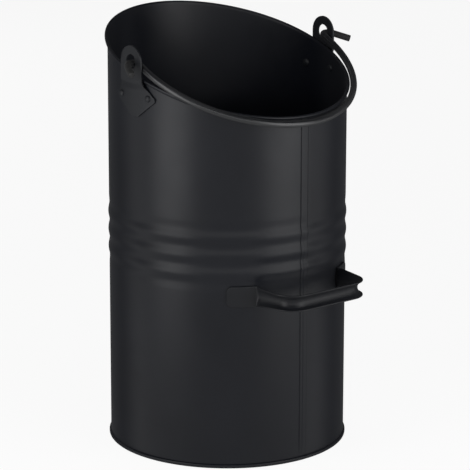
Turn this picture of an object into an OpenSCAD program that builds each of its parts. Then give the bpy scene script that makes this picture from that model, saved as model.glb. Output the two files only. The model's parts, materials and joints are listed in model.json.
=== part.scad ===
// Coal scuttle: a tall sheet-steel bucket with a slanted mouth, a wire bail that lies
// down round the pouring lip, and a strap handle low on the front for tipping it.
// Origin at the centre of the foot ring, on the floor. +Z is up, the lip faces -Y.

/* [Body] */
// Outside diameter of the rolled body sheet
body_d = 250; // [215:1:300]
// Thickness of the body sheet
wall_t = 0.8; // [0.5:0.1:1.2]
// Height of the rim's centre line at the pouring lip
lip_h = 368; // [300:1:420]
// Height of the rim's centre line at the back
back_h = 448; // [430:1:540]
// How far the rim line bows up over a straight slant, half way back
rim_bow = 1.6; // [0:0.1:3]

/* [Rim] */
// Diameter of the wired rim bead
bead_d = 3.5; // [3:0.1:6]
// How far the bead's centre lies outside the body sheet
bead_out = 1.2; // [0.8:0.1:1.4]

/* [Ribs] */
// Number of swaged ribs
rib_count = 3; // [1:1:5]
// Spacing of the ribs
rib_pitch = 19.2; // [15:0.1:24]
// Height of the middle of the group of ribs
rib_mid_h = 227; // [215:1:245]
// How far each rib stands out of the wall
rib_rise = 0.9; // [0.3:0.1:1.5]
// How far the grooves between and beside the ribs sink in
rib_sink = 0.4; // [0:0.1:0.8]

/* [Seam] */
// Width of the grooved seam up the front
seam_w = 8; // [5:0.5:12]
// Angle from the front's middle round to the seam, positive towards +X
seam_turn = -0.5; // [-5:0.5:5]
// How far the seam stands out of the wall
seam_rise = 0.7; // [0.3:0.1:1.2]

/* [Base] */
// Height of the hem that joins the body and the base
hem_h = 4.5; // [3:0.1:8]
// How far the base panel lies above the floor
base_recess = 6; // [5:0.5:15]
// Thickness of the base sheet
base_t = 0.8; // [0.5:0.1:1.2]
// Thickness of the folded hem outside the wall
hem_t = 1.7; // [0.8:0.1:2.5]
// Gap between the folded layers of the hem
hem_gap = 0.1; // [0.05:0.05:0.3]

/* [Ears] */
// Thickness of the ear plates
ear_t = 2; // [1.2:0.1:3]
// How far the ears sit in front of the body's middle
ear_forward = 4; // [0:0.5:8]
// Outside radius of the loop at the top of an ear
ear_loop_r = 16.5; // [13:0.5:22]
// Diameter of the hole for the bail
ear_hole_d = 15; // [12:0.5:18]
// Height of the hole's centre above the rim line
ear_hole_rise = 12.2; // [12:0.1:18]
// Half width of the riveted foot of an ear, corner to corner
ear_foot_half_w = 31; // [28:0.5:38]
// How far the foot's corners lie below the rim, as it passes the loop's front edge
ear_corner_drop = 19; // [16:0.5:25]
// How far the foot's bottom edge lies below the rim there
ear_foot_drop = 38.3; // [32:0.1:53]
// Half width of the foot's bottom edge
ear_bottom_half_w = 6; // [4:0.5:10]
// How far below the rim there the neck widens into the foot
ear_neck_drop = 5.5; // [4.5:0.1:9.5]
// Radius of the corners in an ear's outline
ear_corner_r = 3.3; // [2:0.1:4]
// How far below the rim there the ear's joggle ends
ear_joggle_drop = 3; // [1.5:0.1:5.5]
// Height over which the ear steps out past the rim bead
ear_joggle_h = 7.5; // [6:0.5:10]

/* [Rivets] */
// Distance between an ear's two rivets
rivet_spacing = 41; // [36:0.5:46]
// How far the rivets lie below the rim, as it passes the ear loop's front edge
rivet_drop = 17.5; // [14.5:0.1:23.5]
// Diameter of a rivet's shank
rivet_d = 4; // [3:0.1:4.5]
// Diameter of a rivet's domed outer head
rivet_head_d = 7; // [5.5:0.1:8]
// Diameter of a rivet's inner head
rivet_inner_d = 8.5; // [6:0.1:9]
// Height of a rivet's heads
rivet_head_h = 2; // [1:0.1:3]

/* [Bail] */
// Diameter of the bail wire
bail_d = 7; // [5:0.5:8]
// Length of the straight arms between the ears and the bow
bail_arm_l = 13; // [11:0.5:24]
// Radius inside the two bends between the arms and the pins
bail_bend_in_r = 1.5; // [1:0.5:2.5]
// Length of the straight pin that lies in the ear's hole
bail_pin_l = 2.7; // [1:0.1:4]
// Centre-line radius of the bend outside the ear
bail_hook_r = 8; // [6:0.5:12]
// Angle that the hooked end turns through, on the left
bail_left_angle = 71; // [20:1:80]
// Length of the straight hooked end, on the left
bail_left_l = 15; // [10:0.5:28]
// Angle that the hooked end turns through, on the right
bail_right_angle = 44; // [20:1:80]
// Length of the straight hooked end, on the right
bail_right_l = 20; // [10:0.5:28]

/* [Handle] */
// How far below the ribs the middle of the handle's pads lies
handle_drop = 3.6; // [3:0.2:40]
// Width of the strap where it lies flat
strap_w = 22.3; // [18:0.1:26]
// Thickness of the strap
strap_t = 1.8; // [1.2:0.1:2.5]
// Radius that the grip is gutter-pressed to
gutter_r = 8.2; // [7.5:0.1:12]
// How far the grip rises above the pads
grip_lift = 1.4; // [0:0.1:4]
// How far the grip's middle line stands off the body
handle_reach = 36; // [34:0.5:55]
// Half width between the folds where the arms leave the wall
handle_fold_w = 56; // [46:0.5:60]
// Angle that the arms spread apart towards the wall
arm_splay = 8; // [0:1:12]
// Radius of the handle's corners
handle_corner_r = 16.5; // [12:0.5:24]
// Radius of the bends where the arms meet the body
handle_foot_r = 5; // [4:0.5:8]
// Length of each welded pad along the wall
pad_l = 29.5; // [20:0.5:45]
// Corner radius of the pads
pad_corner_r = 6; // [3:0.5:8]

/* [Fits] */
// Gap between the resting bail and the rim bead
bail_rest_gap = 0.3; // [0.2:0.1:1]
// Gap between the bail wire and the side of the ear
bail_side_gap = 0.4; // [0.3:0.1:1.5]
// Play left between the pin and the near edge of the ear's hole
pin_play = 0.9; // [0.6:0.1:1.2]
// Direction from the hole's centre to the pin, below straight forward
pin_low_angle = 25; // [0:5:45]
// Gap between parts that are fastened face to face
seat_gap = 0.05; // [0.02:0.01:0.1]
// Gap between the top of the wall and the rim bead
bead_gap = 0.1; // [0.05:0.05:0.3]
// Gap between the rim bead and the ear
ear_bead_gap = 0.4; // [0.2:0.1:1]

/* [Hidden] */
$fn = 96;
wall_sides = 180;
former_sides = 360;
seam_sides = 720;
wire_sides = 32;
rivet_sides = 48;
coat = [0.13, 0.135, 0.14];
wire_coat = [0.16, 0.165, 0.17];

body_r = body_d / 2;
bead_r = bead_d / 2;

// Margin that cutting shapes run past what they cut
past = 5;

// The rim line: the centre of the bead that is rolled outwards from the wall
rim_r = body_r + bead_out;
rim_slope = (back_h - lip_h) / 2 / rim_r;
rim_side_h = (lip_h + back_h) / 2 + rim_bow;
function rim_h(y) = rim_side_h + rim_slope * y - rim_bow * pow(y / rim_r, 2);
function rim_point(a) = [rim_r * sin(a), -rim_r * cos(a), rim_h(-rim_r * cos(a))];

// The wall and the seam end a little below the bead
rim_tilt = atan(rim_slope);
bead_drop = sqrt(bead_r * bead_r - bead_out * bead_out) / cos(rim_tilt) + bead_gap;
seam_top_h = lip_h - bead_r / cos(rim_tilt) - bead_gap;
mouth_steps = 24;

// Ribs
rib_band = (rib_count + 1) * rib_pitch;
rib_steps = 12;
function rib_offset(z) =
    let (u = abs(z - rib_mid_h) / rib_pitch, edge = (rib_count + 1) / 2)
    u >= edge ? 0
        : u > edge - 0.5 ? -rib_sink * (1 + cos(360 * (u - edge + 0.5))) / 2
        : (rib_rise + rib_sink) * (1 + cos(360 * (u - edge + 1))) / 2 - rib_sink;

// Ears: the upper part stands out past the bead, the lower part lies on the wall
ear_in_low = body_r + seat_gap;
ear_in_high = rim_r + bead_r + ear_bead_gap;
ear_hole_h = rim_side_h + ear_hole_rise;
ear_angle = asin(ear_forward / body_r);
// The rim is lower at the front edge of an ear's loop than at the ear's hole
ear_rim_fall = rim_slope * (ear_loop_r + ear_forward);
ear_top_h = rim_side_h - ear_rim_fall;
joggle_low = ear_top_h - ear_joggle_drop - ear_joggle_h;

// Bail
wire_r = bail_d / 2;
bail_bend_r = wire_r + bail_bend_in_r;
wire_thinner = 0.02;
wire_let_in = 0.2;
bow_r = ear_in_high - bail_side_gap - wire_r;
pin_off = ear_hole_d / 2 - wire_r - pin_play;
pin_y = -ear_forward - pin_off * cos(pin_low_angle);
pin_h = ear_hole_h - pin_off * sin(pin_low_angle);

// Smallest gap between the bail's bow and the rim bead when the bail is tipped down by `tip`
function bow_point(a, tip) =
    let (f = bail_arm_l + bow_r * sin(a))
    [bow_r * cos(a), pin_y - f * cos(tip), pin_h - f * sin(tip)];
bow_step = 2.5;
rim_step = 0.5;
rim_points = [for (b = [0 : rim_step : 90]) rim_point(b)];
function bow_gap(tip) = min([for (a = [0 : bow_step : 90])
    let (p = bow_point(a, tip))
    min([for (q = rim_points) norm(p - q)])]) - wire_r - bead_r;
// The bail tips down until it all but lies on the bead, found by halving
function rest_tip(low, high, n) =
    n == 0 ? low
    : let (mid = (low + high) / 2)
      bow_gap(mid) > bail_rest_gap ? rest_tip(mid, high, n - 1) : rest_tip(low, mid, n - 1);
bail_tip = rest_tip(0, 60, 12);

// Handle, seen from above: pad on the wall, foot bend, arm, corner, grip
handle_h = rib_mid_h - rib_band / 2 - handle_drop;
pad_r = body_r + strap_t / 2 + seat_gap;
pad_sweep = pad_l / pad_r * 180 / PI;
foot_angle = asin(handle_fold_w / pad_r);
foot_centre = (pad_r + handle_foot_r) * [sin(foot_angle), -cos(foot_angle)];
arm_face = 90 - arm_splay;
arm_start = foot_centre + handle_foot_r * [-sin(arm_face), cos(arm_face)];
grip_y = -(body_r + handle_reach);
corner_y = grip_y + handle_corner_r;
arm_drop = arm_start[1] - (corner_y - handle_corner_r * cos(arm_face));
arm_end = arm_start - arm_drop * [tan(arm_splay), 1];
corner_x = arm_end[0] - handle_corner_r * sin(arm_face);

// Points of a closed outline with corner i rounded by radius[i]
function turn(a, b, c) = let (u = b - a, v = c - b) u[0] * v[1] - u[1] * v[0];
function rounded(pts, radius, steps = 6) = [
    for (i = [0 : len(pts) - 1])
        let (p = pts[i], a = pts[(i + len(pts) - 1) % len(pts)], c = pts[(i + 1) % len(pts)],
             u = (a - p) / norm(a - p), v = (c - p) / norm(c - p),
             half = acos(u * v) / 2, reach = radius[i] / tan(half),
             mid = (u + v) / norm(u + v), centre = p + mid * radius[i] / sin(half),
             from = p + u * reach - centre, side = turn(a, p, c) > 0 ? 1 : -1)
        for (k = [0 : radius[i] == 0 ? 0 : steps])
            let (t = side * k / steps * (180 - 2 * half))
            radius[i] == 0 ? p
                : centre + [from[0] * cos(t) - from[1] * sin(t),
                            from[0] * sin(t) + from[1] * cos(t)]
];

// Triangles over a grid of rings that are all wound the same way
function tube_sides(rings, sides) = [
    for (i = [0 : rings - 2]) for (j = [0 : sides - 1])
        let (a = i * sides + j, b = i * sides + (j + 1) % sides)
        for (f = [[a, b, a + sides], [b, b + sides, a + sides]]) f];

// Everything under the slanted, slightly bowed mouth, drawn in from the rim to the wall
module below_mouth(drop) {
    reach = rim_r + past;
    rotate([90, 0, 90])
        translate([0, 0, -reach])
            linear_extrude(2 * reach)
                polygon(concat([[-reach, -past], [reach, -past]],
                    [for (i = [mouth_steps : -1 : 0])
                        let (y = reach * (2 * i / mouth_steps - 1))
                        [y * body_r / rim_r, rim_h(y) - drop]]));
}

// Wall outline from the hem to above the mouth, with the ribs, as a closed section
module wall_section(inner, outer) {
    low = base_t + hem_gap;
    high = back_h + 2 * past;
    zs = concat([low, rib_mid_h - rib_band / 2],
        [for (i = [1 : rib_steps * (rib_count + 1) - 1])
            rib_mid_h - rib_band / 2 + i * rib_pitch / rib_steps],
        [rib_mid_h + rib_band / 2, high]);
    polygon(concat(
        [for (z = zs) [body_r + outer + rib_offset(z), z]],
        [for (i = [len(zs) - 1 : -1 : 0]) [body_r - inner + rib_offset(zs[i]), zs[i]]]));
}

module rivet_axes(side) {
    for (s = [-1, 1])
        rotate([0, 0, side * (-ear_angle) + s * asin(rivet_spacing / 2 / body_r)])
            translate([side * body_r, 0, ear_top_h - rivet_drop])
                rotate([0, side * 90, 0])
                    children();
}

module body_shell() {
    color(coat)
    difference() {
        union() {
            intersection() {
                rotate_extrude($fn = wall_sides) wall_section(wall_t, 0);
                below_mouth(bead_drop);
            }
            intersection() {
                seam();
                cylinder(r = body_r + past, h = seam_top_h);
            }
        }
        hem_relief();
        for (side = [-1, 1]) rivet_axes(side)
            cylinder(d = rivet_d + 2 * seat_gap, h = 4 * past, center = true);
    }
}

// The grooved seam up the front follows the ribs
module seam() {
    half = asin(seam_w / 2 / body_r);
    rotate([0, 0, seam_turn - 90 - half])
        rotate_extrude(angle = 2 * half, $fn = seam_sides) wall_section(wall_t / 2, seam_rise);
}

// The seam stops at the top of the hem
module hem_relief() {
    difference() {
        cylinder(r = body_r + past, h = hem_h + hem_gap);
        translate([0, 0, -past]) cylinder(r = body_r, h = hem_h + 2 * past, $fn = wall_sides);
    }
}

// The rim's steel wire with the sheet's edge rolled round it
module rim_wire() {
    stations = 120;
    sides = 12;
    points = [
        for (i = [0 : stations - 1])
            let (a = i * 360 / stations, step = 0.5,
                 out = [sin(a), -cos(a), 0],
                 along = rim_point(a + step) - rim_point(a - step),
                 up = cross(out, along) / norm(cross(out, along)))
            for (j = [0 : sides - 1])
                let (t = (j + 0.5) * 360 / sides)
                rim_point(a) + bead_r * (out * cos(t) + up * sin(t))];
    faces = concat(tube_sides(stations, sides), [
        for (j = [0 : sides - 1])
            let (a = (stations - 1) * sides + j, b = (stations - 1) * sides + (j + 1) % sides,
                 c = j, d = (j + 1) % sides)
            for (f = [[a, b, c], [b, d, c]]) f]);
    color(coat) polyhedron(points, faces, convexity = 6);
}

// Base panel with its edge folded down inside the wall, under it and up outside it
module base_pan() {
    in_face = body_r - wall_t - hem_gap;
    out_face = body_r + hem_gap;
    color(coat)
    rotate_extrude($fn = wall_sides)
        polygon([[0, base_recess], [in_face - base_t, base_recess], [in_face - base_t, 0],
            [out_face + hem_t, 0], [out_face + hem_t, hem_h], [out_face, hem_h],
            [out_face, base_t], [in_face, base_t], [in_face, base_recess + base_t],
            [0, base_recess + base_t]]);
}

// Plate outline, with the rim at the loop's front edge at zero height
module ear_outline() {
    r = ear_corner_r;
    hole = ear_hole_rise + ear_rim_fall;
    polygon(rounded([[ear_bottom_half_w, -ear_foot_drop],
        [ear_foot_half_w, -ear_corner_drop], [ear_loop_r, -ear_neck_drop],
        [ear_loop_r, hole], [-ear_loop_r, hole],
        [-ear_loop_r, -ear_neck_drop], [-ear_foot_half_w, -ear_corner_drop],
        [-ear_bottom_half_w, -ear_foot_drop]], [r, r, r, 0, 0, r, r, r]));
    translate([0, hole]) circle(r = ear_loop_r);
}

// What lies inside an ear on the +X side: the body, a cone past the bead and a flat side
module ear_former(offset) {
    low = ear_top_h - ear_foot_drop - past;
    high = ear_hole_h + ear_loop_r + past;
    r = ear_in_low + offset;
    flare = (ear_in_high - ear_in_low) / ear_joggle_h;
    intersection() {
        rotate_extrude($fn = former_sides)
            polygon([[0, low], [r, low], [r, joggle_low],
                [r + (high - joggle_low) * flare, high], [0, high]]);
        translate([0, -body_r, low - past])
            cube([ear_in_high + offset, body_d, high - low + 2 * past]);
    }
}

// Ear on the +X side, mirrored for the other: curved to the wall below, flat above the bead
module ear() {
    color(wire_coat)
    difference() {
        intersection() {
            translate([0, -ear_forward, ear_top_h])
                rotate([90, 0, 90])
                    linear_extrude(body_d) ear_outline();
            ear_former(ear_t);
        }
        ear_former(0);
        translate([body_r, -ear_forward, ear_hole_h])
            rotate([0, 90, 0])
                cylinder(d = ear_hole_d, h = 8 * past, center = true);
        rivet_axes(1)
            cylinder(d = rivet_d + 2 * seat_gap, h = 4 * past, center = true);
    }
}

module ear_right() { ear(); }
module ear_left() { mirror([1, 0, 0]) ear(); }

// Domed rivet along +Z, with the wall's outer face at zero
module rivet() {
    outer = ear_t + 2 * seat_gap;
    inner = -wall_t - seat_gap - rivet_inner_d * rivet_inner_d / (8 * (body_r - wall_t));
    outer_ball = (pow(rivet_head_d / 2, 2) + pow(rivet_head_h, 2)) / (2 * rivet_head_h);
    inner_ball = (pow(rivet_inner_d / 2, 2) + pow(rivet_head_h, 2)) / (2 * rivet_head_h);
    color(wire_coat)
    rotate_extrude($fn = rivet_sides) {
        translate([0, inner - rivet_head_h / 2])
            square([rivet_d / 2, outer - inner + rivet_head_h]);
        intersection() {
            translate([0, outer]) square([rivet_head_d / 2, rivet_head_h]);
            translate([0, outer + rivet_head_h - outer_ball]) circle(r = outer_ball);
        }
        intersection() {
            translate([0, inner - rivet_head_h]) square([rivet_inner_d / 2, rivet_head_h]);
            translate([0, inner - rivet_head_h + inner_ball]) circle(r = inner_ball);
        }
    }
}

module rivet_at(side, end) {
    rotate([0, 0, side * (-ear_angle + end * asin(rivet_spacing / 2 / body_r))])
        translate([side * body_r, 0, ear_top_h - rivet_drop])
            rotate([0, side * 90, 0])
                rivet();
}
module rivet_right_front() { rivet_at(1, -1); }
module rivet_right_back() { rivet_at(1, 1); }
module rivet_left_front() { rivet_at(-1, -1); }
module rivet_left_back() { rivet_at(-1, 1); }

// One bent stretch of wire: an arc from +X towards +Y about the origin
module wire_bend(r, angle) {
    rotate_extrude(angle = angle) translate([r, 0]) circle(r = wire_r, $fn = wire_sides);
}

// One straight stretch along +Y, a hair thinner than the bends and let into them
module wire_run(l, free_end = false) {
    translate([0, -wire_let_in, 0])
        rotate([-90, 0, 0])
            cylinder(r = wire_r - wire_thinner, h = l + (free_end ? 1 : 2) * wire_let_in,
                $fn = wire_sides);
}

// One end of the bail, flat, with the bow towards +Y and the pin along +X
module bail_end(hook_angle, hook_l) {
    elbow_x = bow_r + bail_bend_r;
    translate([bow_r, bail_bend_r]) wire_run(bail_arm_l - bail_bend_r);
    translate([elbow_x, bail_bend_r]) rotate([0, 0, 180]) wire_bend(bail_bend_r, 90);
    translate([elbow_x, 0]) rotate([0, 0, -90]) wire_run(bail_pin_l);
    translate([elbow_x + bail_pin_l, bail_hook_r]) rotate([0, 0, -90]) {
        wire_bend(bail_hook_r, hook_angle);
        rotate([0, 0, hook_angle]) translate([bail_hook_r, 0]) wire_run(hook_l, true);
    }
}

// Round-wire bail, bent flat and laid down over the lip
module bail() {
    color(wire_coat)
    translate([0, pin_y, pin_h])
        rotate([bail_tip, 0, 0])
            mirror([0, 1, 0]) {
                translate([0, bail_arm_l]) wire_bend(bow_r, 180);
                bail_end(bail_right_angle, bail_right_l);
                mirror([1, 0, 0]) bail_end(bail_left_angle, bail_left_l);
            }
}

// Stations along the right half of the handle, from the pad's end to the middle of the
// grip: [x, y, direction of the strap's face, share of the gutter pressing, width]
function pad_width(d) = let (u = max(0, 1 - d / pad_corner_r))
    strap_w - 2 * pad_corner_r * (1 - sqrt(1 - u * u));
function blend(t) = t * t * (3 - 2 * t);
pad_steps = 5;
foot_steps = 5;
arm_steps = 5;
corner_steps = 8;
strap_steps = 10;
pad_ds = concat(
    [for (i = [1 : pad_steps]) pad_corner_r * (1 - cos(90 * i / pad_steps))],
    [for (i = [1 : pad_steps - 1]) pad_corner_r + (pad_l - pad_corner_r) * i / pad_steps]);
function half_stations() = concat(
    [for (d = pad_ds)
        let (a = foot_angle + pad_sweep * (1 - d / pad_l))
        [pad_r * sin(a), -pad_r * cos(a), a, 0, pad_width(d)]],
    [for (i = [0 : foot_steps])
        let (a = foot_angle + i / foot_steps * (arm_face - foot_angle),
             p = foot_centre + handle_foot_r * [-sin(a), cos(a)])
        [p[0], p[1], a, blend(i / foot_steps / 2), strap_w]],
    [for (i = [1 : arm_steps - 1])
        let (p = arm_start + i / arm_steps * (arm_end - arm_start))
        [p[0], p[1], arm_face, blend(0.5 + i / arm_steps / 2), strap_w]],
    [for (i = [0 : corner_steps])
        let (a = arm_face * (1 - i / corner_steps))
        [corner_x + handle_corner_r * sin(a), corner_y - handle_corner_r * cos(a),
         a, 1, strap_w]]);

// Section ring at a station: the concave face, then the back
function strap_ring(s) =
    let (steps = strap_steps, bend = max(s[3], 0.001) / gutter_r * 180 / PI,
         face = [sin(s[2]), -cos(s[2]), 0])
    [for (side = [1, -1]) for (i = [0 : steps])
        let (u = side * (i / steps - 0.5) * s[4], t = u * bend,
             r = 180 / PI / bend,
             out = r * (1 - cos(t)) + side * strap_t / 2 * cos(t),
             up = r * sin(t) - side * strap_t / 2 * sin(t))
        [s[0], s[1], handle_h + grip_lift * s[3]] + face * out + [0, 0, up]];

// Strap handle, gutter-pressed along its grip and flat where it is welded to the wall
module front_handle() {
    half = half_stations();
    n = len(half);
    left = [for (s = half) [-s[0], s[1], -s[2], s[3], s[4]]];
    stations = concat(half, [for (i = [n - 1 : -1 : 0]) left[i]]);
    rings = [for (s = stations) strap_ring(s)];
    sides = len(rings[0]);
    points = [for (ring = rings) for (p = ring) p];
    last = (len(stations) - 1) * sides;
    faces = concat(tube_sides(len(stations), sides),
        [[for (j = [sides - 1 : -1 : 0]) j]], [[for (j = [0 : sides - 1]) last + j]]);
    color(coat) polyhedron(points, faces, convexity = 8);
}

body_shell();
rim_wire();
base_pan();
ear_left();
ear_right();
rivet_left_front();
rivet_left_back();
rivet_right_front();
rivet_right_back();
bail();
front_handle();
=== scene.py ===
# %% [markdown]
# # A coal scuttle in black-coated sheet steel
# The object is a tall round bucket with a slanted mouth. It is made of thin sheet, wire and
# strap, so nearly every piece is a flat or round blank that somebody rolled, folded or bent.
# This lesson builds each piece the same way: a short list of sizes, a section or an outline,
# and a small function that bends it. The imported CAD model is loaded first. It fixes where
# everything is and how it moves, and each modelled piece stands for one of its nodes.

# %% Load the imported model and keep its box
import json
import math

import bmesh
import bpy
from mathutils import Matrix, Vector


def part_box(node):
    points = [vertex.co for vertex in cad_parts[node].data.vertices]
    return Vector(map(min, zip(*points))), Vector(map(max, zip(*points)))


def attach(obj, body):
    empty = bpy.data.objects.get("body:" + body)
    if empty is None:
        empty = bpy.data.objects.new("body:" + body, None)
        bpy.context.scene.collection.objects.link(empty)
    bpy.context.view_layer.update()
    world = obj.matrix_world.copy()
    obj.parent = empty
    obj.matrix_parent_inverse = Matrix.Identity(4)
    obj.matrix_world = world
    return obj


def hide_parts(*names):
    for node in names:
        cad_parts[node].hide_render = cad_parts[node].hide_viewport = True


mm = 0.001
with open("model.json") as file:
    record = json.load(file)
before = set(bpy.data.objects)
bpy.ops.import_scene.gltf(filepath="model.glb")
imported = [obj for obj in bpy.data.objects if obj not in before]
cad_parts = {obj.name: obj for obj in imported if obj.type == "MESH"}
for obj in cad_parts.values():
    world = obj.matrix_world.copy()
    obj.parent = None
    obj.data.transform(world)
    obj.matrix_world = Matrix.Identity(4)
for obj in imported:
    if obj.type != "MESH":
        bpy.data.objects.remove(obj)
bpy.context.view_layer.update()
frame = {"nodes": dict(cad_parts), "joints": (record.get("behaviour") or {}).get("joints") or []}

# %% [markdown]
# ## Sizes
# A sheet-metal worker sets out a bucket from few numbers: the diameter, the heights of the
# mouth at lip and back, and the gauge of the sheet. The rest follows. The frame already
# holds the true places of body, hem, ears, rivets and pins, so those are read from it.

# %% Driving sizes of the bucket, in metres
rib_rise = 0.9 * mm
body_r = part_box("body_shell")[1].x - rib_rise
wall_t = 0.8 * mm
fit_gap = 0.05 * mm
lip_h = 368 * mm
back_h = 448 * mm
rim_bow = 1.6 * mm
bead_out = 1.2 * mm
rim_r = body_r + bead_out
print(f"body radius {body_r / mm:.1f} mm, rim {lip_h / mm:.0f} to {back_h / mm:.0f} mm high")


def rim_height(y):
    """Height of the rim's centre line where its plan position is y."""
    slant = (back_h - lip_h) / 2 * y / rim_r
    return (lip_h + back_h) / 2 + slant + rim_bow * (1 - (y / rim_r) ** 2)


def outward_at(a):
    """The level direction at angle a, counted from the front (-Y) towards +X."""
    return Vector((math.sin(a), -math.cos(a), 0))


# %% [markdown]
# ## One helper that skins a row of sections
# Sheet, wire and strap can all be described as a section that is carried along a path. In
# Blender this could be done with a bevelled curve or a Screw modifier, but both lose control
# of where the edges lie. Here every section is a plain list of points, and one function lays
# quads between neighbouring sections. The mesh it leaves is even, closed and easy to check.

# %% Skin a list of sections into a closed mesh object
sharp_angle = math.radians(38)
weld_distance = 1e-7
least_edge = 1e-8


def mesh_object(name, points, faces, sharp=sharp_angle):
    """A linked object from points and faces, with clean outward normals and smooth shading."""
    mesh = bpy.data.meshes.new(name)
    mesh.from_pydata([tuple(p) for p in points], [], faces)
    work = bmesh.new()
    work.from_mesh(mesh)
    bmesh.ops.remove_doubles(work, verts=work.verts, dist=weld_distance)
    bmesh.ops.dissolve_degenerate(work, edges=work.edges, dist=least_edge)
    bmesh.ops.recalc_face_normals(work, faces=work.faces)
    work.to_mesh(mesh)
    work.free()
    mesh.shade_smooth()
    mesh.set_sharp_from_angle(angle=sharp)
    piece = bpy.data.objects.new(name, mesh)
    bpy.context.scene.collection.objects.link(piece)
    print(f"{name}: {len(mesh.polygons)} faces")
    return piece


def skin(name, sections, loop=False, sharp=sharp_angle):
    """Quads between neighbouring sections. Sections are closed rings; loop joins last to first."""
    n = len(sections[0])
    points = [p for ring in sections for p in ring]
    spans = len(sections) if loop else len(sections) - 1
    faces = []
    for i in range(spans):
        here, there = i * n, (i + 1) % len(sections) * n
        faces += [(here + j, here + (j + 1) % n, there + (j + 1) % n, there + j)
                  for j in range(n)]
    if not loop:
        faces.append(tuple(range(n))[::-1])
        faces.append(tuple(range(len(points) - n, len(points))))
    return mesh_object(name, points, faces, sharp)


# %% Helpers for turned pieces, soft steps and arcs
def lathe(name, profile, turns):
    """Turns a closed (radius, height) profile about Z."""
    rings = []
    for i in range(turns):
        a = 2 * math.pi * i / turns
        rings.append([Vector((r * math.cos(a), r * math.sin(a), z)) for r, z in profile])
    return skin(name, rings, loop=True)


def smooth(t):
    """0 below 0, 1 above 1, and an even S-curve between."""
    t = min(1.0, max(0.0, t))
    return t * t * (3 - 2 * t)


def turned(spoke, angle):
    """A flat vector turned anticlockwise by an angle."""
    c, s = math.cos(angle), math.sin(angle)
    return Vector((spoke.x * c - spoke.y * s, spoke.x * s + spoke.y * c))


# %% [markdown]
# ## Camera
# The photograph was taken with a long lens from a little above the rim, so upright lines stay
# upright and the mouth looks like a narrow oval. The place and the lens below were fitted to
# the rim, the ribs and the foot.

# %% Camera at the photograph's viewpoint
camera_at = Vector((-1.818616, -2.210363, 0.982214))
camera_forward = Vector((0.61592991, 0.74428709, -0.25819967))
camera_up = Vector((0.16326265, 0.20003813, 0.96609009))
picture_px = 470
focal_px = 2793.1
sensor_w = 36.0

camera_data = bpy.data.cameras.new("camera")
camera_data.sensor_width = sensor_w
camera_data.lens = focal_px / picture_px * sensor_w
camera_data.clip_start = 0.1
camera_data.clip_end = 60
camera = bpy.data.objects.new("camera", camera_data)
camera_right = camera_forward.cross(camera_up).normalized()
camera_turn = Matrix((camera_right, camera_up, -camera_forward)).transposed().to_4x4()
camera.matrix_world = Matrix.Translation(camera_at) @ camera_turn
bpy.context.scene.collection.objects.link(camera)
bpy.context.scene.camera = camera
print(f"lens {camera_data.lens:.1f} mm, {camera_at.length:.2f} m from the foot")

# %% [markdown]
# ## The body sheet
# One sheet is rolled into a cylinder, its edges are locked in a grooved seam up the front, and
# three ribs are swaged in to stiffen it. A cylinder with modifiers could give the tube, but
# the seam would have to be cut in afterwards. Here each column of points runs from the hem up
# the outside, over the edge and down the inside. Columns stand close together at the seam,
# where the surface steps, and wider apart everywhere else.
#
# The seam is a raised band with a shallow groove at each side, where the grooving tool bit,
# and below the ribs a fold line shows in it. Just under the rim the sheet is pinched by the
# rolling, so rows of points lie close together there too and draw a shallow crease.

# %% Ribs as offsets from the plain cylinder
rib_count = 3
rib_sink = 0.4 * mm
rib_pitch = 19.2 * mm
rib_mid_h = 227 * mm
rib_band = (rib_count + 1) * rib_pitch


def rib_offset(z):
    """How far the wall stands out at height z: rounded ribs with shallow grooves between."""
    u = abs(z - rib_mid_h) / rib_pitch
    edge = (rib_count + 1) / 2
    if u >= edge:
        return 0.0
    if u > edge - 0.5:
        return -rib_sink * (1 + math.cos(2 * math.pi * (u - edge + 0.5))) / 2
    return (rib_rise + rib_sink) * (1 + math.cos(2 * math.pi * (u - edge + 1))) / 2 - rib_sink


print(f"{rib_count} ribs, {rib_pitch / mm:.1f} mm apart, the middle one {rib_mid_h / mm:.0f} mm up")

# %% The locked seam: a raised band, a groove at each foot, a fold line below the ribs
seam_at = math.radians(-0.5)
seam_half_w = 4.0 * mm
seam_rise = 0.6 * mm
seam_edge = 0.4 * mm
groove_half_w = 0.6 * mm
groove_off = 0.18 * mm
groove_at = seam_half_w + seam_edge + groove_off
left_groove = (0.40 * mm, 0.225 * mm)  # depth above the ribs, depth below them
right_groove = (0.50 * mm, 0.15 * mm)
fold_at = -0.9 * mm
fold_depth = 0.3 * mm


def valley(s, at):
    """1 at the middle of a groove, 0 at its edges."""
    return smooth(1 - abs(s - at) / groove_half_w)


def groove_depth(ends, lower):
    """A groove's depth, on the way from its depth above the ribs to that below them."""
    above, below = ends
    return above + (below - above) * lower


def seam_offset(s, lower):
    """How far the wall stands out at arc distance s from the seam's middle.

    lower is 0 above the ribs and 1 below them, where the band was hammered flatter."""
    out = seam_rise * smooth((seam_half_w + seam_edge - abs(s)) / seam_edge)
    out -= groove_depth(left_groove, lower) * valley(s, -groove_at)
    out -= groove_depth(right_groove, lower) * valley(s, groove_at)
    return out - fold_depth * lower * valley(s, fold_at)


print(f"seam band {2 * seam_half_w / mm:.0f} mm wide, {seam_rise / mm:.1f} mm proud")

# %% Where the columns stand: close together at the seam
seam_reach = 9 * mm
plain_columns = 264
groove_steps = 4
groove_span = range(-groove_steps - 1, groove_steps + 2)
between_grooves = [s * mm for s in (-7, -2.6, 0.9, 2.6, 7)]

close = [at + k * groove_half_w / groove_steps
         for at in (-groove_at, fold_at, groove_at) for k in groove_span]
close += [-seam_reach, *between_grooves, seam_reach]
plain_arc = 2 * math.pi * body_r - 2 * seam_reach
arcs = sorted(close)
arcs += [seam_reach + plain_arc * i / plain_columns for i in range(1, plain_columns)]
print(f"{len(arcs)} columns round the body, {len(close)} of them at the seam")

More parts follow.
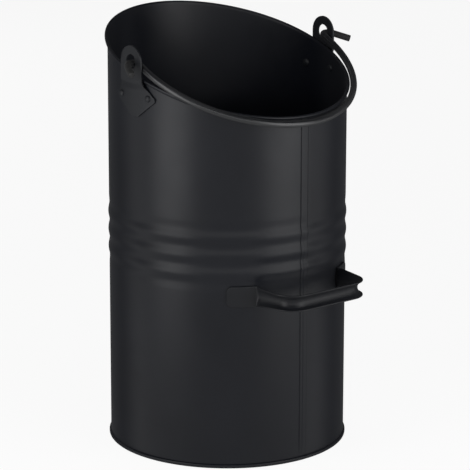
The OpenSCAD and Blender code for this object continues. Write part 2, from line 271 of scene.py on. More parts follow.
# %% Where the rows lie: close together at the ribs and at the crease under the rim
sheet_foot_h = 0.9 * mm
hem_h = 4.5 * mm
lower_rows = 14
rows_per_rib = 16
upper_rows = 22
crease_drop = 2.5 * mm
crease_half_h = 1.1 * mm
crease_depth = 0.5 * mm
crease_steps = 4
crease_span = range(5, -8, -1)
crease_rows = [crease_drop + k * crease_half_h / crease_steps for k in crease_span]


def column_heights(rim):
    """Heights of one column's points, from the hem to the top edge, just under the rim line."""
    band_low, band_high = rib_mid_h - rib_band / 2, rib_mid_h + rib_band / 2
    rows = [sheet_foot_h, hem_h]
    rows += [hem_h + (band_low - hem_h) * i / lower_rows for i in range(1, lower_rows)]
    band_rows = rows_per_rib * (rib_count + 1)
    rows += [band_low + rib_band * i / band_rows for i in range(band_rows + 1)]
    plain_high = rim - 2 * crease_drop
    rows += [band_high + (plain_high - band_high) * i / upper_rows
             for i in range(1, upper_rows + 1)]
    return rows + [rim - drop for drop in crease_rows]


print(f"{len(column_heights(lip_h))} rows from hem to rim")

# %% Raise the columns and skin them
seam_fade_h = 1.5 * mm
sheet_sharp_angle = math.radians(60)


def column(s):
    """One column at arc distance s: up the outside, over the top edge and down the inside."""
    a = s / body_r + seam_at
    outward = outward_at(a)
    rim = rim_height(-rim_r * math.cos(a))
    outside, inside = [], []
    for z in column_heights(rim):
        lower = smooth((rib_mid_h - z) / rib_band + 0.5)
        seam = seam_offset(s, lower) * smooth((z - hem_h) / seam_fade_h)
        pinch = crease_depth * smooth(1 - abs(rim - z - crease_drop) / crease_half_h)
        level = Vector((0, 0, z))
        outside.append(outward * (body_r + rib_offset(z) + seam - pinch) + level)
        inside.append(outward * (body_r - wall_t + rib_offset(z)) + level)
    return outside + inside[::-1]


body_sheet = skin("body_sheet", [column(s) for s in arcs], loop=True, sharp=sheet_sharp_angle)

# %% [markdown]
# ## The wired rim
# The top edge is rolled outwards over a steel wire. That stiffens the mouth and gives hands
# and coal a round edge. The section is not a plain circle: on the inside it runs straight
# into the sheet, and underneath it turns in over the sheet's crease, which gives the fine
# dark line below the bead. A section and a path again do it best.

# %% Section of the rolled edge
bead_r = 1.69 * mm
curl_end = -118
curl_top = 150
curl_steps = 18
skirt_drop = 2.4 * mm
skirt_proud = 0.03 * mm


def rim_section():
    """(outward, up) points of the rolled edge about the wire's centre.

    The curl goes over the wire, the shoulder and the skirt run down the inside of the sheet,
    and the tuck leads from the skirt's outer edge back to the curl."""
    inner_face = -(bead_out + wall_t) - skirt_proud
    outer_face = -bead_out + fit_gap
    curl = []
    for i in range(curl_steps + 1):
        t = math.radians(curl_end + (curl_top - curl_end) * i / curl_steps)
        curl.append((bead_r * math.cos(t), bead_r * math.sin(t)))
    shoulder = [(0.93 * inner_face, 0.45 * mm), (inner_face, -0.2 * mm)]
    skirt = [(inner_face, -skirt_drop), (outer_face, -skirt_drop)]
    tuck = [(outer_face, -0.72 * bead_r), (-0.62 * mm, -0.78 * bead_r)]
    return curl + shoulder + skirt + tuck


# %% Carry the section round the mouth
rim_stations = 300
look_ahead = math.radians(0.5)


def on_rim(a):
    """The point of the wire's centre line at angle a."""
    y = -rim_r * math.cos(a)
    return Vector((rim_r * math.sin(a), y, rim_height(y)))


def rim_ring(a, section):
    """The section set up square to the rim at angle a."""
    outward = outward_at(a)
    along = (on_rim(a + look_ahead) - on_rim(a - look_ahead)).normalized()
    upward = outward.cross(along).normalized()
    return [on_rim(a) + outward * p + upward * q for p, q in section]


section = rim_section()
rings = [rim_ring(2 * math.pi * i / rim_stations, section) for i in range(rim_stations)]
rolled_rim = skin("rolled_rim", rings, loop=True)

# %% [markdown]
# ## The base and its folded hem
# The bottom panel is a shallow dish whose edge is folded under the wall and up outside it,
# then squeezed flat. It is round, so a turned profile is the natural way. The corners of the
# profile are rounded, because a fold in 0.8 mm sheet never has a sharp edge, and those round
# edges are what catches the thin line of light at the foot.

# %% A helper that rounds the corners of an outline
def round_corners(corners, steps=5):
    """Closed outline from (x, y, radius) corners, each replaced by an arc of its radius."""
    outline = []
    for i, (x, y, r) in enumerate(corners):
        p = Vector((x, y))
        before = (Vector(corners[i - 1][:2]) - p).normalized()
        after = (Vector(corners[(i + 1) % len(corners)][:2]) - p).normalized()
        if r <= 0:
            outline.append(p)
            continue
        half = before.angle(after) / 2
        centre = p + (before + after).normalized() * (r / math.sin(half))
        start = p + before * (r / math.tan(half)) - centre
        end = p + after * (r / math.tan(half)) - centre
        side = 1 if start.x * end.y > start.y * end.x else -1
        for k in range(steps + 1):
            outline.append(centre + turned(start, side * start.angle(end) * k / steps))
    return outline


# %% Turn the base from its profile
base_turns = 240
panel_gap = 0.1 * mm
hem_shoulder = 0.9 * mm
base_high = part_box("base_pan")[1]
hem_r = base_high.x
panel_top = base_high.z
panel_under = panel_top - wall_t
turn_r = body_r - wall_t - panel_gap
fold_r = turn_r - wall_t
slot_r = body_r + fit_gap
slot_floor = sheet_foot_h - fit_gap
base_corners = [
    (0, panel_under, 0), (fold_r, panel_under, 0.5 * mm),
    (fold_r, 0, 0.35 * mm), (hem_r, 0, 1.6 * mm),
    (hem_r, hem_h - hem_shoulder, 1.2 * mm), (slot_r, hem_h, 0.1 * mm),
    (slot_r, slot_floor, 0), (turn_r, slot_floor, 0),
    (turn_r, panel_top, 1.1 * mm), (0, panel_top, 0)]
base_profile = [tuple(p) for p in round_corners(base_corners)]
base_hem = lathe("base_hem", base_profile, base_turns)

# %% [markdown]
# ## Ears
# Each ear is a blank punched from 2 mm plate, with a round hole for the bail, and a step
# pressed across it so that its top clears the rolled rim. A punched blank is a 2D curve in
# Blender: the fill, the thickness and the softened edges all come from the curve's own
# settings. The blank is then sliced into small fields so that it can bend, and every point is
# moved to the pressed shape.

# %% Outline of the blank and of its hole
loop_r = 16.5 * mm
loop_steps = 40
hole_r = 7.5 * mm
hole_steps = 48
hole_rise = 12.2 * mm
ear_points_mm = [(6, -44.8), (31, -25.5), (16.5, -12), (16.5, 12.2)]
ear_corner_r = 3.3 * mm
ear_corner_steps = 8


def ear_outline():
    """The blank's outline in metres, with the rim line at zero height."""
    right_side = [(x * mm, z * mm) for x, z in ear_points_mm]
    corners = [(x, z, ear_corner_r) for x, z in right_side[:3]] + [(*right_side[3], 0)]
    corners += [(-x, z, r) for x, z, r in corners[::-1]]
    outline = round_corners(corners, ear_corner_steps)
    half = len(outline) // 2
    angles = [math.pi * k / loop_steps for k in range(1, loop_steps)]
    top = [Vector((loop_r * math.cos(t), hole_rise + loop_r * math.sin(t))) for t in angles]
    return outline[:half] + top + outline[half:]


def hole_outline():
    """The round hole for the bail."""
    angles = [2 * math.pi * k / hole_steps for k in range(hole_steps)]
    return [Vector((hole_r * math.cos(t), hole_rise + hole_r * math.sin(t))) for t in angles]


# %% Punch the blank as a filled curve
ear_t = 2 * mm
edge_soft = 0.35 * mm
edge_rounds = 2


def punched_blank():
    """A flat plate in the XY plane, from a 2D curve with a hole and softened edges."""
    curve = bpy.data.curves.new("ear_blank", "CURVE")
    curve.dimensions = "2D"
    curve.fill_mode = "BOTH"
    curve.extrude = ear_t / 2 - edge_soft
    curve.bevel_depth = edge_soft
    curve.bevel_resolution = edge_rounds
    curve.offset = -edge_soft
    for line in (ear_outline(), hole_outline()):
        spline = curve.splines.new("POLY")
        spline.points.add(len(line) - 1)
        spline.use_cyclic_u = True
        for point, p in zip(spline.points, line):
            point.co = (p.x, p.y, 0, 1)
    holder = bpy.data.objects.new("ear_blank", curve)
    bpy.context.scene.collection.objects.link(holder)
    bpy.context.view_layer.update()
    evaluated = holder.evaluated_get(bpy.context.evaluated_depsgraph_get())
    mesh = bpy.data.meshes.new_from_object(evaluated)
    bpy.data.objects.remove(holder)
    return mesh


# %% Slice the blank so that it can bend
level_cuts_mm = range(-42, 4, 2)
upright_cuts_mm = range(-28, 29, 4)
blank_weld_distance = 1e-6


def slice_blank(mesh):
    """Welds the plate's faces together and cuts it into small fields, both ways."""
    work = bmesh.new()
    work.from_mesh(mesh)
    bmesh.ops.remove_doubles(work, verts=work.verts, dist=blank_weld_distance)
    cuts = [(Vector((0, z * mm, 0)), Vector((0, 1, 0))) for z in level_cuts_mm]
    cuts += [(Vector((x * mm, 0, 0)), Vector((1, 0, 0))) for x in upright_cuts_mm]
    for at, direction in cuts:
        geometry = work.verts[:] + work.edges[:] + work.faces[:]
        bmesh.ops.bisect_plane(work, geom=geometry, plane_co=at, plane_no=direction,
                               dist=weld_distance)
    work.to_mesh(mesh)
    work.free()


print(f"an ear is sliced {len(level_cuts_mm)} times level, {len(upright_cuts_mm)} times upright")

# %% Bend the blank: curved to the wall below, a step, and flat above the rim
rim_side_h = rim_height(0)
ear_forward = 4 * mm
ear_in_low = body_r + fit_gap
ear_in_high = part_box("ear_right")[1].x - ear_t
joggle_low = rim_side_h - 17 * mm
joggle_h = 7.5 * mm
joggle_soft = 1.2 * mm
flat_soft = joggle_soft / 3
flare = (ear_in_high - ear_in_low) / joggle_h


def soft_ramp(x, soft):
    """Zero below, x above, with a round change between."""
    if x <= -soft:
        return 0.0
    if x >= soft:
        return x
    return (x + soft) ** 2 / (4 * soft)


def press_ear(mesh, side):
    """Moves the blank's points to the pressed shape, on the +X side for side 1, else on -X."""
    for v in mesh.vertices:
        y, z, w = v.co.x - ear_forward, rim_side_h + v.co.y, v.co.z + ear_t / 2
        former_r = ear_in_low + w + flare * soft_ramp(z - joggle_low, joggle_soft)
        curved = math.sqrt(former_r ** 2 - y ** 2)
        flat = ear_in_high + w
        v.co = (side * (flat - soft_ramp(flat - curved, flat_soft)), y, z)


print(f"the step starts {joggle_low / mm:.0f} mm up and is {joggle_h / mm:.1f} mm high")

# %% Make both ears
ear_sharp_angle = math.radians(50)


def ear_plate(name, side):
    """A finished ear: punched, sliced and pressed, with its normals outwards."""
    mesh = punched_blank()
    slice_blank(mesh)
    mesh.name = name
    press_ear(mesh, side)
    work = bmesh.new()
    work.from_mesh(mesh)
    bmesh.ops.recalc_face_normals(work, faces=work.faces)
    work.to_mesh(mesh)
    work.free()
    mesh.shade_smooth()
    mesh.set_sharp_from_angle(angle=ear_sharp_angle)
    piece = bpy.data.objects.new(name, mesh)
    bpy.context.scene.collection.objects.link(piece)
    out = max(abs(v.co.x) for v in mesh.vertices)
    print(f"{name}: {len(mesh.polygons)} faces, out to {out / mm:.1f} mm")
    return piece


ear_plate_right = ear_plate("ear_plate_right", 1)
ear_plate_left = ear_plate("ear_plate_left", -1)

# %% [markdown]
# ## Rivets
# Four soft steel rivets hold the ears. Outside they have a domed head, inside a flatter one
# that was set with a hammer. Each is turned like the base, then laid on its axis. Their
# places come from the frame: the middle of each CAD rivet's box.

# %% Sizes of a rivet and the shape of its heads
head_r = 3.5 * mm
head_h = 2 * mm
head_fullness = 2.3
set_r = 4.25 * mm
set_h = 1.9 * mm
set_fullness = 2.0
set_gap = 0.12 * mm
foot_share = 0.985
shank_r = 2 * mm
dome_steps = 8
rivet_turns = 40


def dome(radius, height, fullness):
    """Points of a domed head from its rim to its top, as (radius, height above its seat)."""
    points = []
    for i in range(dome_steps + 1):
        t = i / dome_steps * math.pi / 2
        points.append((radius * math.cos(t) ** (2 / fullness), height * math.sin(t)))
    return points


print(f"rivet heads {2 * head_r / mm:.1f} mm wide outside, {2 * set_r / mm:.1f} mm inside")

# %% Turn each rivet and set it in its place
def set_rivet(name, node):
    """A rivet along its own node's axis, which points away from the body's centre line."""
    low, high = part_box(node)
    middle = (low + high) / 2
    outward = Vector((middle.x, middle.y, 0)).normalized()
    seat_out = body_r + fit_gap + ear_t
    seat_in = body_r - wall_t - set_gap
    set_dome = dome(set_r, set_h, set_fullness)[::-1]
    profile = [(0, seat_in - set_h)] + [(r, seat_in - h) for r, h in set_dome[1:]]
    profile += [(set_r * foot_share, seat_in), (shank_r, seat_in)]
    profile += [(shank_r, seat_out), (head_r * foot_share, seat_out)]
    profile += [(r, seat_out + h) for r, h in dome(head_r, head_h, head_fullness)]
    piece = lathe(name, profile, rivet_turns)
    lay_down = outward.to_track_quat("Z", "Y").to_matrix().to_4x4()
    piece.data.transform(Matrix.Translation((0, 0, middle.z)) @ lay_down)
    return piece


rivets = {}
for node in frame["nodes"]:
    if node.startswith("rivet_"):
        rivets[node] = set_rivet(node.replace("rivet", "domed_rivet"), node)

# %% [markdown]
# ## The bail
# The bail is one length of 7 mm wire. It is bent flat on a bench: a half round bow, two short
# arms, and at each end a turn out through the ear and a hook that keeps it there. A small
# turtle walks the wire's centre line, as the bender would, forward and round. The line then
# tips down by the angle at which the CAD bail lies on the rim.

# %% Sizes of the bail and how far it tips down
wire_r = 3.5 * mm
bow_gap = 0.4 * mm
bow_r = ear_in_high - bow_gap - wire_r
arm_l = 13 * mm
elbow_r = 5 * mm
pin_l = 2.7 * mm
hook_r = 8 * mm
hooks = {1: (44, 20 * mm), -1: (71, 15 * mm)}  # side: (turn in degrees, straight end)

pin = Vector(frame["joints"][0]["pos_m"])
bail_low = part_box("bail")[0]
bow_tip = Vector((0, bail_low.y + wire_r, bail_low.z + wire_r))
tip_angle = math.atan2(pin.z - bow_tip.z, pin.y - bow_tip.y)
print(f"the bail lies {math.degrees(tip_angle):.1f} degrees down from level")

# %% Walk the centre line of the wire
bow_steps = 60
bend_steps = 12


class Turtle:
    """Walks in a plane, leaving points: forward, or round an arc."""

    def __init__(self, at, heading):
        self.at, self.heading, self.points = Vector(at), heading, [Vector(at)]

    def forward(self, length, steps=1):
        """Straight on."""
        for _ in range(steps):
            self.at += Vector((math.cos(self.heading), math.sin(self.heading))) * length / steps
            self.points.append(self.at.copy())

    def arc(self, radius, degrees, steps):
        """Left for positive degrees, right for negative."""
        side = 1 if degrees > 0 else -1
        centre = self.at + Vector((-math.sin(self.heading), math.cos(self.heading))) * radius * side
        spoke = self.at - centre
        for k in range(1, steps + 1):
            self.points.append(centre + turned(spoke, math.radians(degrees) * k / steps))
        self.at = self.points[-1].copy()
        self.heading += math.radians(degrees)


def half_bail(side):
    """From the middle of the bow to one hooked end, in the bail's own plane."""
    hook_angle, hook_l = hooks[side]
    walk = Turtle((0, arm_l + bow_r), 0.0)
    walk.arc(bow_r, -90, bow_steps)
    walk.forward(arm_l - elbow_r, steps=3)
    walk.arc(elbow_r, 90, bend_steps)
    walk.forward(pin_l)
    walk.arc(hook_r, hook_angle, bend_steps)
    walk.forward(hook_l, steps=4)
    return [Vector((side * p.x, p.y)) for p in walk.points]


flat_line = half_bail(-1)[::-1] + half_bail(1)[1:]
length = sum((b - a).length for a, b in zip(flat_line, flat_line[1:]))
print(f"the bail takes {length:.3f} m of wire")

# %% Tip the line down, carry a round section along it and round off the cut ends
wire_sides = 24
chamfer = 0.7 * mm
chamfer_rings = [(0, 1), (0.35, 0.3), (1, 0)]  # shares of the chamfer: (inwards, taken off)
plane_forward = Vector((0, -math.cos(tip_angle), -math.sin(tip_angle)))
plane_normal = Vector((0, -math.sin(tip_angle), math.cos(tip_angle)))
centre_line = [Vector((p.x, pin.y, pin.z)) + plane_forward * p.y for p in flat_line]
last = len(centre_line) - 1


def wire_direction(i):
    """The wire's direction at point i of its centre line."""
    return (centre_line[min(i + 1, last)] - centre_line[max(i - 1, 0)]).normalized()


def wire_ring(at, along, radius):
    """A round section of the wire."""
    across = along.cross(plane_normal).normalized()
    return [at + radius * (across * math.cos(t) + plane_normal * math.sin(t))
            for t in (2 * math.pi * j / wire_sides for j in range(wire_sides))]


def cut_end(i, inwards):
    """Rings that round off the cut end at point i; inwards is 1 at the first end, else -1."""
    along = wire_direction(i)
    return [wire_ring(centre_line[i] + along * (inwards * chamfer * back), along,
                      wire_r - chamfer * off) for back, off in chamfer_rings]


rings = cut_end(0, 1)
rings += [wire_ring(centre_line[i], wire_direction(i), wire_r) for i in range(1, last)]
rings += cut_end(last, -1)[::-1]
wire_bail = skin("wire_bail", rings)

# %% [markdown]
# ## The strap handle
# A flat steel strap is bent to a wide U, its ends are curved to the wall and welded on, and
# its grip is pressed into a gutter so that the edges don't cut the hand. Seen from above the
# line is pad, bend, arm, corner and grip. The section starts flat and curls up along the arm,
# so this is a sweep whose section changes, and each station carries its own share of curl.

# %% Sizes of the strap and the places of its bends, seen from above
strap_w = 22.3 * mm
strap_t = 1.8 * mm
fold_half_w = 56 * mm
foot_r = 5 * mm
corner_r = 16.5 * mm
arm_splay = math.radians(8)
grip_y = -(body_r + 36 * mm)
pad_r = body_r + strap_t / 2 + fit_gap
foot_angle = math.asin(fold_half_w / pad_r)
arm_face = math.pi / 2 - arm_splay
foot_centre = (pad_r + foot_r) * Vector((math.sin(foot_angle), -math.cos(foot_angle)))
arm_start = foot_centre + foot_r * Vector((-math.sin(arm_face), math.cos(arm_face)))
corner_y = grip_y + corner_r
arm_drop = arm_start.y - (corner_y - corner_r * math.cos(arm_face))
arm_end = arm_start - arm_drop * Vector((math.tan(arm_splay), 1))
corner_x = arm_end.x - corner_r * math.sin(arm_face)
print(f"the strap leaves the wall {math.degrees(foot_angle):.1f} degrees from the front")

# %% The pad, whose end has round corners
pad_l = 29.5 * mm
pad_corner_r = 6 * mm
pad_end_steps = 10
pad_steps = 8


def pad_width(d):
    """The pad's width at distance d from its end."""
    u = max(0.0, 1 - d / pad_corner_r)
    return strap_w - 2 * pad_corner_r * (1 - math.sqrt(max(0.0, 1 - u * u)))


def pad_stations():
    """The pad, flat and curved to the wall, from its round end to the bend."""
    distances = [pad_corner_r * (1 - math.cos(math.pi / 2 * i / pad_end_steps))
                 for i in range(1, pad_end_steps + 1)]
    distances += [pad_corner_r + (pad_l - pad_corner_r) * i / pad_steps
                  for i in range(1, pad_steps)]
    angles = [foot_angle + pad_l / pad_r * (1 - d / pad_l) for d in distances]
    return [(pad_r * math.sin(a), -pad_r * math.cos(a), a, 0.0, pad_width(d))
            for a, d in zip(angles, distances)]


print(f"pads {pad_l / mm:.1f} mm long")

# %% Stations along half of the strap
foot_steps = 10
arm_steps = 8
corner_steps = 16
grip_steps = 8


def half_strap():
    """(x, y, direction the face looks, share of curl, width) from the pad's end to mid grip."""
    stations = pad_stations()
    for i in range(foot_steps + 1):
        a = foot_angle + i / foot_steps * (arm_face - foot_angle)
        p = foot_centre + foot_r * Vector((-math.sin(a), math.cos(a)))
        stations.append((p.x, p.y, a, smooth(i / foot_steps / 2), strap_w))
    for i in range(1, arm_steps):
        p = arm_start + i / arm_steps * (arm_end - arm_start)
        stations.append((p.x, p.y, arm_face, smooth(0.5 + i / arm_steps / 2), strap_w))
    for i in range(corner_steps + 1):
        a = arm_face * (1 - i / corner_steps)
        x, y = corner_x + corner_r * math.sin(a), corner_y - corner_r * math.cos(a)
        stations.append((x, y, a, 1.0, strap_w))
    for i in range(1, grip_steps + 1):
        stations.append((corner_x * (1 - i / grip_steps), grip_y, 0.0, 1.0, strap_w))
    return stations


half = half_strap()
other = [(-x, y, -facing, curl, width) for x, y, facing, curl, width in half[:-1]]
print(f"{len(half) + len(other)} stations along the strap")

# %% Sweep the strap, with rounded edges
handle_h = 185 * mm
grip_lift = 1.4 * mm
gutter_r = 8.2 * mm
least_curl = 0.001
edge_steps = 6
face_steps = 14


def flat_section(width):
    """(up, out) points of the section before it curls: two long faces and two round edges."""
    half_flat, half_t = width / 2 - strap_t / 2, strap_t / 2
    points = []
    for side in (1, -1):
        points += [(side * half_flat * (1 - 2 * i / face_steps), side * half_t)
                   for i in range(face_steps + 1)]
        points += [(-side * (half_flat + half_t * math.sin(t)), side * half_t * math.cos(t))
                   for t in (math.pi * k / edge_steps for k in range(1, edge_steps))]
    return points


def strap_ring(x, y, facing, curl, width):
    """The strap's section at one station, curled by its share."""
    centre = Vector((x, y, handle_h + grip_lift * curl))
    bend = max(curl, least_curl) / gutter_r
    ring = []
    for u, w in flat_section(width):
        t = u * bend
        out = (1 - math.cos(t)) / bend + w * math.cos(t)
        up = math.sin(t) / bend - w * math.sin(t)
        ring.append(centre + outward_at(facing) * out + Vector((0, 0, up)))
    return ring


rings = [strap_ring(*station) for station in half + other[::-1]]
strap_handle = skin("strap_handle", rings, sharp=sheet_sharp_angle)
reach = -min(v.co.y for v in strap_handle.data.vertices) - body_r
print(f"the grip stands {reach / mm:.1f} mm off the body")

# %% [markdown]
# ## Black powder coat
# Every piece is sprayed with the same black powder and baked, but it looks different on each:
# smooth and wide on the sheet, a little glossier on the wire where the powder flowed, duller
# on rough plate. So the finish is one function that makes a material from a few numbers.
# Colour drifts slowly across a piece, roughness varies in patches, and two noises give the
# bump: a soft orange peel and a fine grain. Where the wire turns in its ears the coat is
# scuffed dull, and in the same patches its colour is darkened as painted shade. At a glancing
# angle the grain hides the smooth film, so a Layer Weight node makes every coat duller there,
# and the sides of the round pieces turn dark as they do on real powder coat. Each part of the
# finish has its own short function.

# %% A material's nodes, with short calls that add and join them
class Finish:
    """The nodes of one material."""

    def __init__(self, name):
        self.material = bpy.data.materials.new(name)
        self.material.use_nodes = True
        self.nodes = self.material.node_tree.nodes
        self.nodes.clear()
        self.out = self.add("ShaderNodeOutputMaterial")

    def add(self, kind, **settings):
        """A node with its properties and input values set by name."""
        node = self.nodes.new(kind)
        for key, value in settings.items():
            if hasattr(node, key) and key not in node.inputs.keys():
                setattr(node, key, value)
            else:
                node.inputs[key.replace("_", " ")].default_value = value
        return node

    def join(self, output, target):
        """A link from an output to an input."""
        self.material.node_tree.links.new(output, target)


# %% Noises, ranges, products and mixes
def noise_on(finish, where, scale, detail, roughness):
    """A noise that is fixed to the piece."""
    node = finish.add("ShaderNodeTexNoise", Scale=scale, Detail=detail, Roughness=roughness)
    finish.join(where, node.inputs["Vector"])
    return node.outputs["Fac"]


def ranged(finish, value, start, end, low=0.0, high=1.0, kind="LINEAR"):
    """Carries a value that runs from start to end over to the range low to high."""
    node = finish.add("ShaderNodeMapRange", clamp=True, interpolation_type=kind,
                      From_Min=start, From_Max=end, To_Min=low, To_Max=high)
    finish.join(value, node.inputs["Value"])
    return node.outputs["Result"]


def combined(finish, operation, first, second):
    """Two outputs combined by MAXIMUM, MULTIPLY or the like."""
    node = finish.add("ShaderNodeMath", operation=operation)
    finish.join(first, node.inputs[0])
    finish.join(second, node.inputs[1])
    return node.outputs[0]


def mixed(finish, kind, share, first, plain):
    """Goes from an output to a plain value, both FLOAT or both RGBA, by a share."""
    into, beside, result = {"FLOAT": (2, 3, 0), "RGBA": (6, 7, 2)}[kind]
    node = finish.add("ShaderNodeMix", data_type=kind)
    node.inputs[beside].default_value = plain
    finish.join(share, node.inputs[0])
    finish.join(first, node.inputs[into])
    return node.outputs[result]


# %% Colour, roughness and bump of the coat
drift_noise = (9.0, 3.0, 0.55)  # each noise is (scale, detail, roughness)
fleck_noise = (420.0, 2.0, 0.6)
patch_noise = (28.0, 4.0, 0.6)
peel_noise = (330.0, 1.0, 0.5)
grain_noise = (1600.0, 1.0, 0.5)
fleck_share = 0.25
deep_below, pale_above = 0.42, 0.80
patch_from, patch_to = 0.3, 0.7


def drifting_colour(finish, where, deep, pale):
    """A slow drift from deep to pale black, with fine flecks in it."""
    both = finish.add("ShaderNodeMath", operation="MULTIPLY_ADD")
    both.inputs[1].default_value = fleck_share
    finish.join(noise_on(finish, where, *fleck_noise), both.inputs[0])
    finish.join(noise_on(finish, where, *drift_noise), both.inputs[2])
    colour = finish.add("ShaderNodeValToRGB")
    stops = colour.color_ramp.elements
    stops[0].position, stops[0].color = deep_below, (*deep, 1)
    stops[1].position, stops[1].color = pale_above, (*pale, 1)
    finish.join(both.outputs[0], colour.inputs["Fac"])
    return colour.outputs["Color"]


def patchy_roughness(finish, where, rough, spread):
    """Roughness that varies in patches about its middle value."""
    patches = noise_on(finish, where, *patch_noise)
    return ranged(finish, patches, patch_from, patch_to, rough - spread, rough + spread)


def peel_and_grain(finish, where, peel, grain):
    """The normal of an orange peel with a fine grain on top, from their depths in metres."""
    peel_bump = finish.add("ShaderNodeBump", Strength=1.0, Distance=peel)
    grain_bump = finish.add("ShaderNodeBump", Strength=1.0, Distance=grain)
    finish.join(noise_on(finish, where, *peel_noise), peel_bump.inputs["Height"])
    finish.join(noise_on(finish, where, *grain_noise), grain_bump.inputs["Height"])
    finish.join(peel_bump.outputs["Normal"], grain_bump.inputs["Normal"])
    return grain_bump.outputs["Normal"]


# %% Scuffs with painted shade, and the dulling at a glancing angle
wear_and_shade_noise = (160.0, 5.0, 0.7)
wear_and_shade_from, wear_and_shade_to = 0.30, 0.50
# Painted shade: the scuffed patches at the wire's ends get this darker colour.
worn_and_shaded_colour = (0.003, 0.003, 0.003, 1)
scuffed_rougher = 0.5
glance_from, glance_to = 0.28, 0.62
glance_rough = 0.95


def wear_and_shade_mask(finish, where, rub_and_shade_from, rub_and_shade_to):
    """0 where the coat is whole, 1 in broken patches beyond the rubbed distance along X, which are
    scuffed and painted darker as shade.
    """
    split = finish.add("ShaderNodeSeparateXYZ")
    finish.join(where, split.inputs[0])
    from_middle = finish.add("ShaderNodeMath", operation="ABSOLUTE")
    finish.join(split.outputs["X"], from_middle.inputs[0])
    beyond = ranged(finish, from_middle.outputs[0], rub_and_shade_from, rub_and_shade_to)
    patches = noise_on(finish, where, *wear_and_shade_noise)
    broken = ranged(finish, patches, wear_and_shade_from, wear_and_shade_to)
    return combined(finish, "MULTIPLY", beyond, broken)


def dulled(finish, roughness):
    """The roughness, raised where the surface is seen at a glancing angle."""
    glance = finish.add("ShaderNodeLayerWeight", Blend=0.5)
    share = ranged(finish, glance.outputs["Facing"], glance_from, glance_to, kind="SMOOTHSTEP")
    return mixed(finish, "FLOAT", share, roughness, glance_rough)


# %% The whole coat
def powder_coat(name, deep, pale, rough, spread, peel, grain, specular, rub_and_shade=None):
    """A black powder coat. rub is (from, to): how far out along X its scuffing and painted shade
    set in.
    """
    finish = Finish(name)
    shader = finish.add("ShaderNodeBsdfPrincipled", Specular_IOR_Level=specular)
    where = finish.add("ShaderNodeTexCoord").outputs["Object"]
    colour = drifting_colour(finish, where, deep, pale)
    roughness = patchy_roughness(finish, where, rough, spread)
    if rub_and_shade:
        wear_and_shade_patches = wear_and_shade_mask(finish, where, *rub_and_shade)
        # Painted shade: the scuffed patches turn darker; their extra roughness is real wear.
        colour = mixed(finish, "RGBA", wear_and_shade_patches, colour, worn_and_shaded_colour)
        roughness = mixed(finish, "FLOAT", wear_and_shade_patches, roughness, rough + scuffed_rougher)
    finish.join(colour, shader.inputs["Base Color"])
    finish.join(dulled(finish, roughness), shader.inputs["Roughness"])
    finish.join(peel_and_grain(finish, where, peel, grain), shader.inputs["Normal"])
    finish.join(shader.outputs[0], finish.out.inputs[0])
    return finish.material


# %% Mix the coats
sheet_coat = powder_coat(
    "sheet_coat", deep=(0.0019, 0.0024, 0.0043), pale=(0.0040, 0.0047, 0.0072),
    rough=0.39, spread=0.03, peel=0.03 * mm, grain=0.006 * mm, specular=0.20)
plate_coat = powder_coat(
    "plate_coat", deep=(0.0032, 0.0038, 0.0053), pale=(0.0060, 0.0068, 0.0089),
    rough=0.48, spread=0.04, peel=0.04 * mm, grain=0.008 * mm, specular=0.22)
# The wire's ends in the ears are scuffed, and their colour is painted darker as shade.
wire_coat = powder_coat(
    "wire_coat", deep=(0.0036, 0.0040, 0.0052), pale=(0.0064, 0.0069, 0.0084),
    rough=0.30, spread=0.04, peel=0.02 * mm, grain=0.004 * mm, specular=0.44,
    rub_and_shade=(128 * mm, 137 * mm))
strap_coat = powder_coat(
    "strap_coat", deep=(0.0026, 0.0030, 0.0043), pale=(0.0048, 0.0054, 0.0071),
    rough=0.40, spread=0.03, peel=0.03 * mm, grain=0.006 * mm, specular=0.21)
print("coats:", [m.name for m in bpy.data.materials if "coat" in m.name])

# %% [markdown]
# ## Fasten every piece to its body
# A finished piece needs three things: the coat, the CAD body that it moves with, and the name
# of the CAD node that it stands for. The bail is the only piece that rides on the bail body.

# %% Coat, ride and replace
finished = [
    (body_sheet, "bucket", "body_shell", "sheet_coat", sheet_coat),
    (rolled_rim, "bucket", "rim_wire", "sheet_coat", sheet_coat),
    (base_hem, "bucket", "base_pan", "sheet_coat", sheet_coat),
    (ear_plate_right, "bucket", "ear_right", "fitting_coat", plate_coat),
    (ear_plate_left, "bucket", "ear_left", "fitting_coat", plate_coat),
    (wire_bail, "bail", "bail", "wire_coat", wire_coat),
    (strap_handle, "bucket", "front_handle", "handle_coat", strap_coat),
]
finished += [(piece, "bucket", node, "fitting_coat", plate_coat)
             for node, piece in rivets.items()]
for piece, body, node, slot_name, coat in finished:
    piece.data.materials.clear()
    piece.data.materials.append(coat)
    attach(piece, body)
    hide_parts(node)

# %% [markdown]
# ## Floor and light
# The photograph is a cut-out on white. Two tall soft boxes stand close to the object, one off
# to the left and one in front to the right, and reach down almost to the floor: they draw the
# two soft bands down the body. A box overhead fills the mouth. A low wide box stands far off
# behind the camera, and its reflection lies along the upper slopes of the ribs. A weak one
# behind the bucket gives its back some shape.
#
# The floor is a plain pale disc that runs out of the picture, so it is the whole background.
# Camera, glossy and transmitted rays see most of it as plain white, and the rest is lit, so
# the soft shadow at the foot stays.

# %% A pale floor
floor_r = 14.0
floor_sides = 96
floor_grey = (0.8, 0.8, 0.8, 1)
plain_white = (1, 1, 1, 1)
white_share = 0.92


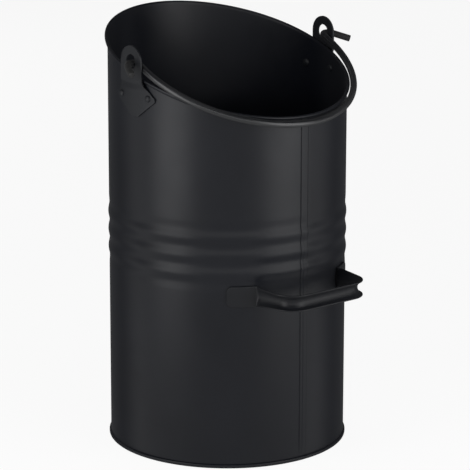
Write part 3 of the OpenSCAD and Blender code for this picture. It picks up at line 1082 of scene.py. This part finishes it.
def pale_floor():
    """A matt pale grey that camera, glossy and transmitted rays see mostly as plain white."""
    finish = Finish("pale_floor")
    lit = finish.add("ShaderNodeBsdfDiffuse", Color=floor_grey)
    white = finish.add("ShaderNodeEmission", Color=plain_white, Strength=1.0)
    rays = finish.add("ShaderNodeLightPath").outputs
    seen = combined(finish, "MAXIMUM", rays["Is Camera Ray"], rays["Is Glossy Ray"])
    seen = combined(finish, "MAXIMUM", seen, rays["Is Transmission Ray"])
    share = finish.add("ShaderNodeMath", operation="MULTIPLY")
    share.inputs[1].default_value = white_share
    blend = finish.add("ShaderNodeMixShader")
    finish.join(seen, share.inputs[0])
    finish.join(share.outputs[0], blend.inputs[0])
    finish.join(lit.outputs[0], blend.inputs[1])
    finish.join(white.outputs[0], blend.inputs[2])
    finish.join(blend.outputs[0], finish.out.inputs[0])
    return finish.material


floor_angles = [2 * math.pi * i / floor_sides for i in range(floor_sides)]
floor_points = [(floor_r * math.cos(a), floor_r * math.sin(a), 0) for a in floor_angles]
floor = mesh_object("floor", floor_points, [tuple(range(floor_sides))])
floor.data.materials.append(pale_floor())

# %% Soft boxes
highest_aim = 1.0


def soft_box(name, bearing, height, distance, width, tall, power):
    """A rectangular lamp. bearing is in degrees from -Y towards +X, height is its middle's."""
    lamp = bpy.data.lights.new(name, "AREA")
    lamp.shape = "RECTANGLE"
    lamp.size, lamp.size_y = width, tall
    lamp.energy = power
    holder = bpy.data.objects.new(name, lamp)
    at = outward_at(math.radians(bearing)) * distance + Vector((0, 0, height))
    aim = Vector((0, 0, min(height, highest_aim)))
    holder.location = at
    holder.rotation_mode = "QUATERNION"
    holder.rotation_quaternion = (at - aim).to_track_quat("Z", "Y")
    holder.visible_camera = False
    bpy.context.scene.collection.objects.link(holder)
    print(f"{name}: {power / (math.pi * width * tall):.1f} W per square metre and steradian")


soft_box("left_box", bearing=-90, height=0.53, distance=0.88, width=0.50, tall=1.04, power=6.2)
soft_box("front_box", bearing=15, height=0.53, distance=0.88, width=0.62, tall=1.04, power=6.5)
soft_box("top_box", bearing=-40, height=2.6, distance=0.9, width=1.4, tall=1.4, power=4.4)
soft_box("far_box", bearing=-38, height=0.85, distance=3.3, width=4.2, tall=0.4, power=33)
soft_box("back_box", bearing=165, height=1.3, distance=2.4, width=1.2, tall=1.2, power=12)

# %% Light of the room
room_strength = 0.09

world = bpy.data.worlds.new("room")
world.use_nodes = True
room_light = world.node_tree.nodes["Background"].inputs
room_light["Color"].default_value = plain_white
room_light["Strength"].default_value = room_strength
bpy.context.scene.world = world
bpy.context.scene.view_settings.view_transform = "Standard"
print(f"room light at {room_strength}")
